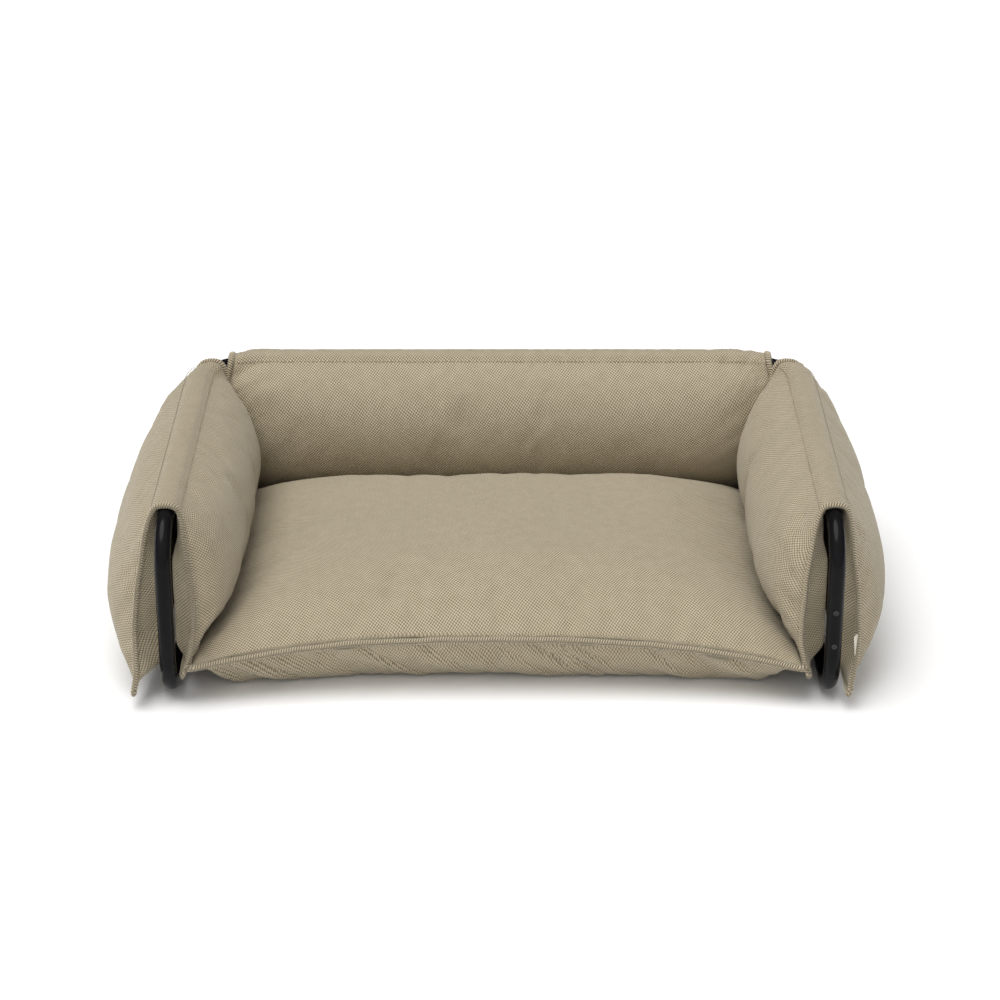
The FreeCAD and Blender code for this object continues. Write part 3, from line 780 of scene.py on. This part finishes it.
def arm_place(hand):
    def place(local):
        offset, along, height = np.asarray(local).T
        return np.stack([hand * (RAIL_X - offset - rail_turn(along - CORNER_Y)), along, height], -1)

    def unplace(world):
        x, along, height = np.asarray(world).T
        return np.stack([RAIL_X - hand * x - rail_turn(along - CORNER_Y), along, height], -1)

    return place, unplace


def back_place(local):
    offset, along, height = np.asarray(local).T
    return np.stack([along, RAIL_Y - offset - rail_turn(np.abs(along) - RAIL_X + CORNER), height], -1)


def back_unplace(world):
    along, y, height = np.asarray(world).T
    return np.stack([RAIL_Y - y - rail_turn(np.abs(along) - RAIL_X + CORNER), along, height], -1)


def seams_of(flap, name):
    """The serged edge and the channel's stitching of a flap, bending with it."""
    line, out = flap.edge()
    serge = serged_edge(f"{name}_serging", line, out, True)
    dress(serge, SERGE)
    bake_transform(serge)
    for side, tag in ((1, "inner"), (-1, "outer")):
        stitches = stitch_row(f"{name}_stitching_{tag}", flap.stitch_line(side), lambda p: (0, 0, 1))
        dress(stitches, STITCH)
        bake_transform(stitches)


def finish_flap(flap, name, material, nodes, seed, surplus=0.020):
    flap.settle(surplus=surplus)
    seams_of(flap, name)
    piece = flap.piece
    subdivide(piece)

    def shown(points, normals):
        """1 on the faces turned away from the rail, 0 on the hidden ones."""
        offset = flap.unplace(points)[:, 0]
        moved = flap.unplace(points + normals * 0.001)[:, 0] - offset
        return np.clip(moved * np.sign(offset) / 0.0004 + 0.5, 0, 1)

    seam = flap.edge()[0]
    pucker(piece, seam, seed, where=shown)
    pucker(piece, seam, seed + 5, depth=0.0046, reach=0.050, pitch=0.036, lean=0.9, start=0.012, where=shown)
    for side in (1, -1):
        line = flap.stitch_line(side)
        pucker(piece, line, seed + 20 + side, depth=0.0009, reach=0.016, pitch=0.010, where=shown)
    dress(piece, material)
    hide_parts(*nodes)
    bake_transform(piece)
    return piece


def run_from(base, *knots):
    """Where a flap's end lies along its rail, from the stitch line (share 0) to the hem (share 1)."""
    return [(share, base + further) for share, further in knots]


def build_arm(tag, hand, seed):
    place, unplace = arm_place(hand)
    stitched = (0, 0.060), (0.2, 0.040)
    near = {
        "inner": run_from(LEG_Y, *stitched, (0.45, 0.028), (0.7, 0.024), (0.9, 0.012), (1, 0.006)),
        "outer": run_from(LEG_Y, *stitched, (0.45, 0.027), (0.7, 0.018), (0.9, -0.004), (1, -0.014)),
    }
    far = {
        "inner": run_from(CORNER_Y, (0, 0.045), (0.1, 0.044), (0.3, 0.040), (0.7, 0.036), (1, 0.034)),
        "outer": run_from(CORNER_Y, (0, 0.045), (0.1, 0.040), (0.3, 0.029), (0.6, 0.020), (1, 0.028)),
    }
    name = f"arm_quilt_{tag}"
    softness = (FRONT_SOFTNESS, REAR_SOFTNESS)
    inner_offset, outer_offset = ARM_SEAMS[tag]
    rows = section_rows(outer_offset, OUTER_SWELL[tag], inner_offset)
    flap = Flap(name, rows, near, far, place, unplace, softness, ARM_ROOM, ARM_DRAPE, seed)
    nodes = [f"arm_{pad}_{tag}_{part}" for pad in ("inner", "outer") for part in ("cover", "fill")]
    nodes.append(f"arm_channel_{tag}")
    material = WEAVE_LEFT if hand < 0 else WEAVE_RIGHT
    return finish_flap(flap, name, material, nodes, seed)


BACK_END_MARGIN = 0.0445  # from the back flap's ends to the side rails' centre lines


def build_back(seed):
    half = RAIL_X - BACK_END_MARGIN
    near = {
        "inner": run_from(-half, (0, 0), (0.1, -0.006), (0.5, -0.003), (1, 0.012)),
        "outer": run_from(-half, (0, 0), (0.1, -0.002), (0.5, 0.004), (1, 0.008)),
    }
    far = {key: [(t, -x) for t, x in knots] for key, knots in near.items()}
    rows = section_rows(BACK_OUTER_SEAM_OFFSET)
    softness = (REAR_SOFTNESS, REAR_SOFTNESS)
    flap = Flap("back_quilt", rows, near, far, back_place, back_unplace, softness, 0.0, BACK_DRAPE, seed)
    nodes = [f"back_{pad}_{part}" for pad in ("inner", "outer") for part in ("cover", "fill")]
    nodes.append("back_channel")
    return finish_flap(flap, "back_quilt", WEAVE_RIGHT, nodes, seed, 0.006)


# ---------------------------------------------------------------- the seat
SEAT_HALF = 0.4095
SEAT_SHIFT = -0.0045  # the cushion lies a little to the left
SEAT_REAR = 0.565  # from the front legs to the rear seam
SEAT_TUCK = 0.008  # the seat's sides lie this much further in behind its front corners, under the arms
SEAT_SWELL = 0.078
SEAT_ROUND = 0.055  # how far in from its seams the seat's underside reaches the floor
# How far from its seams the seat's top reaches most of its swell.
SEAT_FULL = {"front": 0.055, "rear": 0.060, "side": 0.060}
FLOOR_GAP = 0.0006


def keep_out(piece, solid, clearance=0.0012):
    """Moves a piece's points that lie inside another closed piece out to just off its surface."""
    tree = BVHTree.FromObject(solid, bpy.context.evaluated_depsgraph_get())
    points = read_points(piece)
    for i, point in enumerate(points):
        near, normal, _, distance = tree.find_nearest(Vector(point), 0.06)
        if near is not None and (Vector(point) - near).dot(normal) < clearance:
            points[i] = near + normal * clearance
    write_points(piece, points)


def build_seat(seed, flaps):
    """The seat cushion: a broad swollen top, and an underside that rises from the floor to its seams."""
    columns, rows = 108, 74
    u = np.linspace(-1, 1, columns)
    v = eased_spacing(rows, 0.2)
    side = np.abs(u)
    front_y = LEG_Y + 0.032 - 0.030 * side**3
    front_z = LIFTED + 0.052 + 0.030 * (1 - side**2.2)
    rear_y = np.full(columns, LEG_Y + SEAT_REAR)
    rear_z = np.full(columns, 0.060)
    y = front_y[None, :] * (1 - v[:, None]) + rear_y[None, :] * v[:, None]
    half = SEAT_HALF - SEAT_TUCK * eased((y - LEG_Y - 0.012) / 0.10)
    x = half * u[None, :]
    blend_z = v[:, None] ** 0.7
    seam_z = front_z[None, :] * (1 - blend_z) + rear_z[None, :] * blend_z
    from_front, from_rear = y - front_y[None, :], rear_y[None, :] - y
    from_side = half - np.abs(x)
    near_edge = np.minimum(np.minimum(from_front, from_rear), from_side)
    full = 1 - np.exp(-from_front / SEAT_FULL["front"])
    full = full * (1 - np.exp(-from_rear / SEAT_FULL["rear"])) * (1 - np.exp(-from_side / SEAT_FULL["side"]))
    cloud = wander(np.stack([x, y, x * 0], -1).reshape(-1, 3), 0.16, seed).reshape(x.shape)
    centre = 1 - 0.20 * (np.abs(x) / SEAT_HALF) ** 2
    top = seam_z + EDGE + SEAT_SWELL * full * centre * (1 + 0.07 * cloud)
    y_top = y - 0.004 * np.exp(-((from_front - 0.02) / 0.03) ** 2) * (1 - np.exp(-from_side / 0.08))
    down = eased(near_edge / SEAT_ROUND)
    bottom = seam_z * (1 - down) + FLOOR_GAP * down
    face = np.stack([x, y_top, top], -1)
    under = np.stack([x, y, bottom], -1)
    rim = border_of(x.shape)
    seam = np.stack([x, y, seam_z], -1)
    face[rim] = seam[rim] + wobble(seam[rim], seed)
    points, faces, over, below = two_layers(face, under, rim)
    points[:, 0] += SEAT_SHIFT
    uv = np.stack([x, y], -1)
    uv = np.concatenate([uv.reshape(-1, 2), uv[~rim] * (-1, 1)])
    piece = new_mesh("seat_quilt", points, faces, uv)
    face_outward(piece)
    held = np.zeros(len(points))
    held[over[rim]] = 1
    contact = (~rim) & (down > 0.98)
    held[below[contact]] = 1
    inflate(piece, held, 1.6, 0.010, 22, 0.010)
    points = read_points(piece)
    points[:, 2] = np.maximum(points[:, 2], FLOOR_GAP)
    write_points(piece, points)
    for flap in flaps:
        keep_out(piece, flap)
    points = read_points(piece)
    ring = ring_of(over)
    away = np.concatenate([
        np.tile((0, -1.0, -0.25), (columns, 1)), np.tile((1.0, 0, 0), (rows - 1, 1)),
        np.tile((0, 1.0, 0), (columns - 1, 1)), np.tile((-1.0, 0, 0), (rows - 2, 1)),
    ])
    serge = serged_edge("seat_serging", softened(points[ring], 2, True), softened(away, 4, True), True)
    dress(serge, SERGE)
    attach(serge, "bed")
    subdivide(piece)
    front = points[over[0, :]]
    under = {"depth": 0.0125, "reach": 0.080, "pitch": 0.034, "lean": -1.1, "start": 0.016}
    pucker(piece, front, seed, where=lambda p, n: n[:, 2] < 0.0, **under)
    pucker(piece, front, seed + 3, depth=0.0014, reach=0.026, pitch=0.012, where=lambda p, n: n[:, 2] >= 0.05)
    settled = read_points(piece)
    settled[:, 2] = np.maximum(settled[:, 2], FLOOR_GAP)
    write_points(piece, settled)
    dress(piece, WEAVE_RIGHT)
    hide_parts("seat_cover", "seat_fill")
    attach(piece, "bed")
    return piece


# ---------------------------------------------------------------- label
LABEL_THICKNESS = 0.0004
LABEL_SEAM = 0.0345  # from the rail's centre plane to the seam that holds the label
LABEL_LEAN = 0.45  # how far the label turns toward the leg, as a share of its reach
ZIP_TAPE_SHARE = 0.7  # the ribbon's thickness, as a share of the tape's


def add_label():
    """A blank woven ribbon, folded double and caught in the front seam of the right arm's outer pad."""
    tall = LABEL_HIGH[2] - LABEL_LOW[2]
    reach = LABEL_HIGH[1] - LABEL_LOW[1]
    columns, rows = 17, 13
    v = np.linspace(0, 1, rows)
    fold = np.linspace(-1, 1, columns)
    points = []
    for k in v:
        z = LABEL_LOW[2] + tall * k
        for f in fold:
            out = reach * (1 - f * f)
            gap = 0.0006 * np.sign(f) * (0.35 + abs(f)) + 0.0012 * math.sin(3.0 * k + 1.4) * out / reach
            points.append((RAIL_X + LABEL_SEAM + gap - LABEL_LEAN * out, LEG_Y + 0.017 - out, z))
    numbers = np.arange(rows * columns).reshape(rows, columns)
    piece = new_mesh("side_label_ribbon", points, grid_quads(numbers))
    thicken(piece, LABEL_THICKNESS)
    dress(piece, thread_material("label_ribbon", (0.78, 0.74, 0.64), (0.64, 0.60, 0.50)))
    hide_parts("side_label")
    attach(piece, "right_flap")


def add_zip_tape():
    """The zip's woven tape under the back flap's hem, with its long edges a little wavy."""
    columns, rows = 121, 9
    x, v = np.meshgrid(np.linspace(ZIP_LOW[0], ZIP_HIGH[0], columns), np.linspace(-1, 1, rows))
    middle, half = (ZIP_LOW + ZIP_HIGH) / 2, (ZIP_HIGH - ZIP_LOW) / 2
    wave = wander(np.stack([x, v, x * 0], -1).reshape(-1, 3), 0.05, 6).reshape(rows, columns)
    grid = np.stack([x, middle[1] + half[1] * v, middle[2] + half[2] * v * v * (0.5 + wave)], -1)
    numbers = np.arange(rows * columns).reshape(rows, columns)
    piece = new_mesh("zip_tape_ribbon", grid.reshape(-1, 3), grid_quads(numbers)[:, [0, 3, 2, 1]])
    thicken(piece, ZIP_TAPE_SHARE * 2 * half[2], 0)
    dress(piece, thread_material("zip_tape_cloth", (0.30, 0.25, 0.17), (0.19, 0.155, 0.10)))
    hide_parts("zip_tape")
    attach(piece, "back_flap")


# ---------------------------------------------------------------- floor and light
FLOOR_HALF = 60.0


def add_floor():
    corners = [(x * FLOOR_HALF, y * FLOOR_HALF, 0) for x, y in ((-1, -1), (1, -1), (1, 1), (-1, 1))]
    floor = new_mesh("floor", corners, [(0, 1, 2, 3)])
    n = Nodes("floor_white")
    n.shader.inputs["Base Color"].default_value = (0.93, 0.93, 0.93, 1.0)
    n.shader.inputs["Roughness"].default_value = 1.0
    n.shader.inputs["Specular IOR Level"].default_value = 0.0
    floor.data.materials.append(n.material)


def add_sun(name, toward, strength, softness):
    """Even light from that direction. softness is the angle in degrees that it comes from."""
    light = bpy.data.objects.new(name, bpy.data.lights.new(name, "SUN"))
    bpy.context.collection.objects.link(light)
    light.data.energy = strength
    light.data.angle = math.radians(softness)
    light.rotation_euler = Vector(toward).to_track_quat("Z", "Y").to_euler()


def add_world(dim, bright, toward):
    """A soft grey surround that is brighter toward one side."""
    world = bpy.data.worlds.new("studio")
    world.use_nodes = True
    nodes, links = world.node_tree.nodes, world.node_tree.links
    coordinates = nodes.new("ShaderNodeTexCoord")
    turn = nodes.new("ShaderNodeVectorMath")
    turn.operation = "DOT_PRODUCT"
    turn.inputs[1].default_value = Vector(toward).normalized()
    level = nodes.new("ShaderNodeMapRange")
    level.interpolation_type = "SMOOTHSTEP"
    for key, value in (("From Min", -0.4), ("From Max", 1.0), ("To Min", dim), ("To Max", bright)):
        level.inputs[key].default_value = value
    links.new(coordinates.outputs["Generated"], turn.inputs[0])
    links.new(turn.outputs["Value"], level.inputs["Value"])
    links.new(level.outputs[0], nodes["Background"].inputs["Strength"])
    nodes["Background"].inputs["Color"].default_value = (1.0, 1.0, 1.0, 1.0)
    bpy.context.scene.world = world


def paint_nodes():
    """Finishes for the CAD nodes that stay in view."""
    paint = powder_coat_material()
    steel = speckled_material("inner_steel", (0.30, 0.30, 0.31), (0.42, 0.42, 0.43), 300.0, 0.35, 0.5, 1.0)
    black = speckled_material("screw_black", (0.010, 0.010, 0.011), (0.024, 0.024, 0.026), 900.0, 0.35, 0.5)
    rubber = speckled_material("glide_rubber", (0.020, 0.020, 0.021), (0.045, 0.045, 0.047), 500.0, 0.75, 0.9)
    metal = speckled_material("zip_metal", (0.34, 0.31, 0.26), (0.52, 0.48, 0.40), 700.0, 0.3, 0.45, 1.0)
    finishes = {
        paint: ["upper_frame", "lower_frame", "rear_post_left", "rear_post_right"],
        steel: ["leg_sleeve_left", "leg_sleeve_right", "rear_spigot_left", "rear_spigot_right"],
        black: ["leg_screws", "post_screws"],
        rubber: ["floor_glides"],
        coil_material(): ["zip_coil"],
        metal: ["zip_stops", "zip_slider", "zip_pull"],
    }
    for material, names in finishes.items():
        for name in names:
            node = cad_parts[name]
            node.data.materials.clear()
            node.data.materials.append(material)


bpy.context.scene.view_settings.view_transform = "Standard"
add_floor()
add_world(0.02, 0.84, (-0.05, -0.75, 0.75))
add_sun("key", (-0.24, -0.08, 1.0), 2.2, 50)
paint_nodes()
quilts = [build_back(5), build_arm("left", -1, 3), build_arm("right", 1, 8)]
build_seat(4, quilts)
add_label()
add_zip_tape()
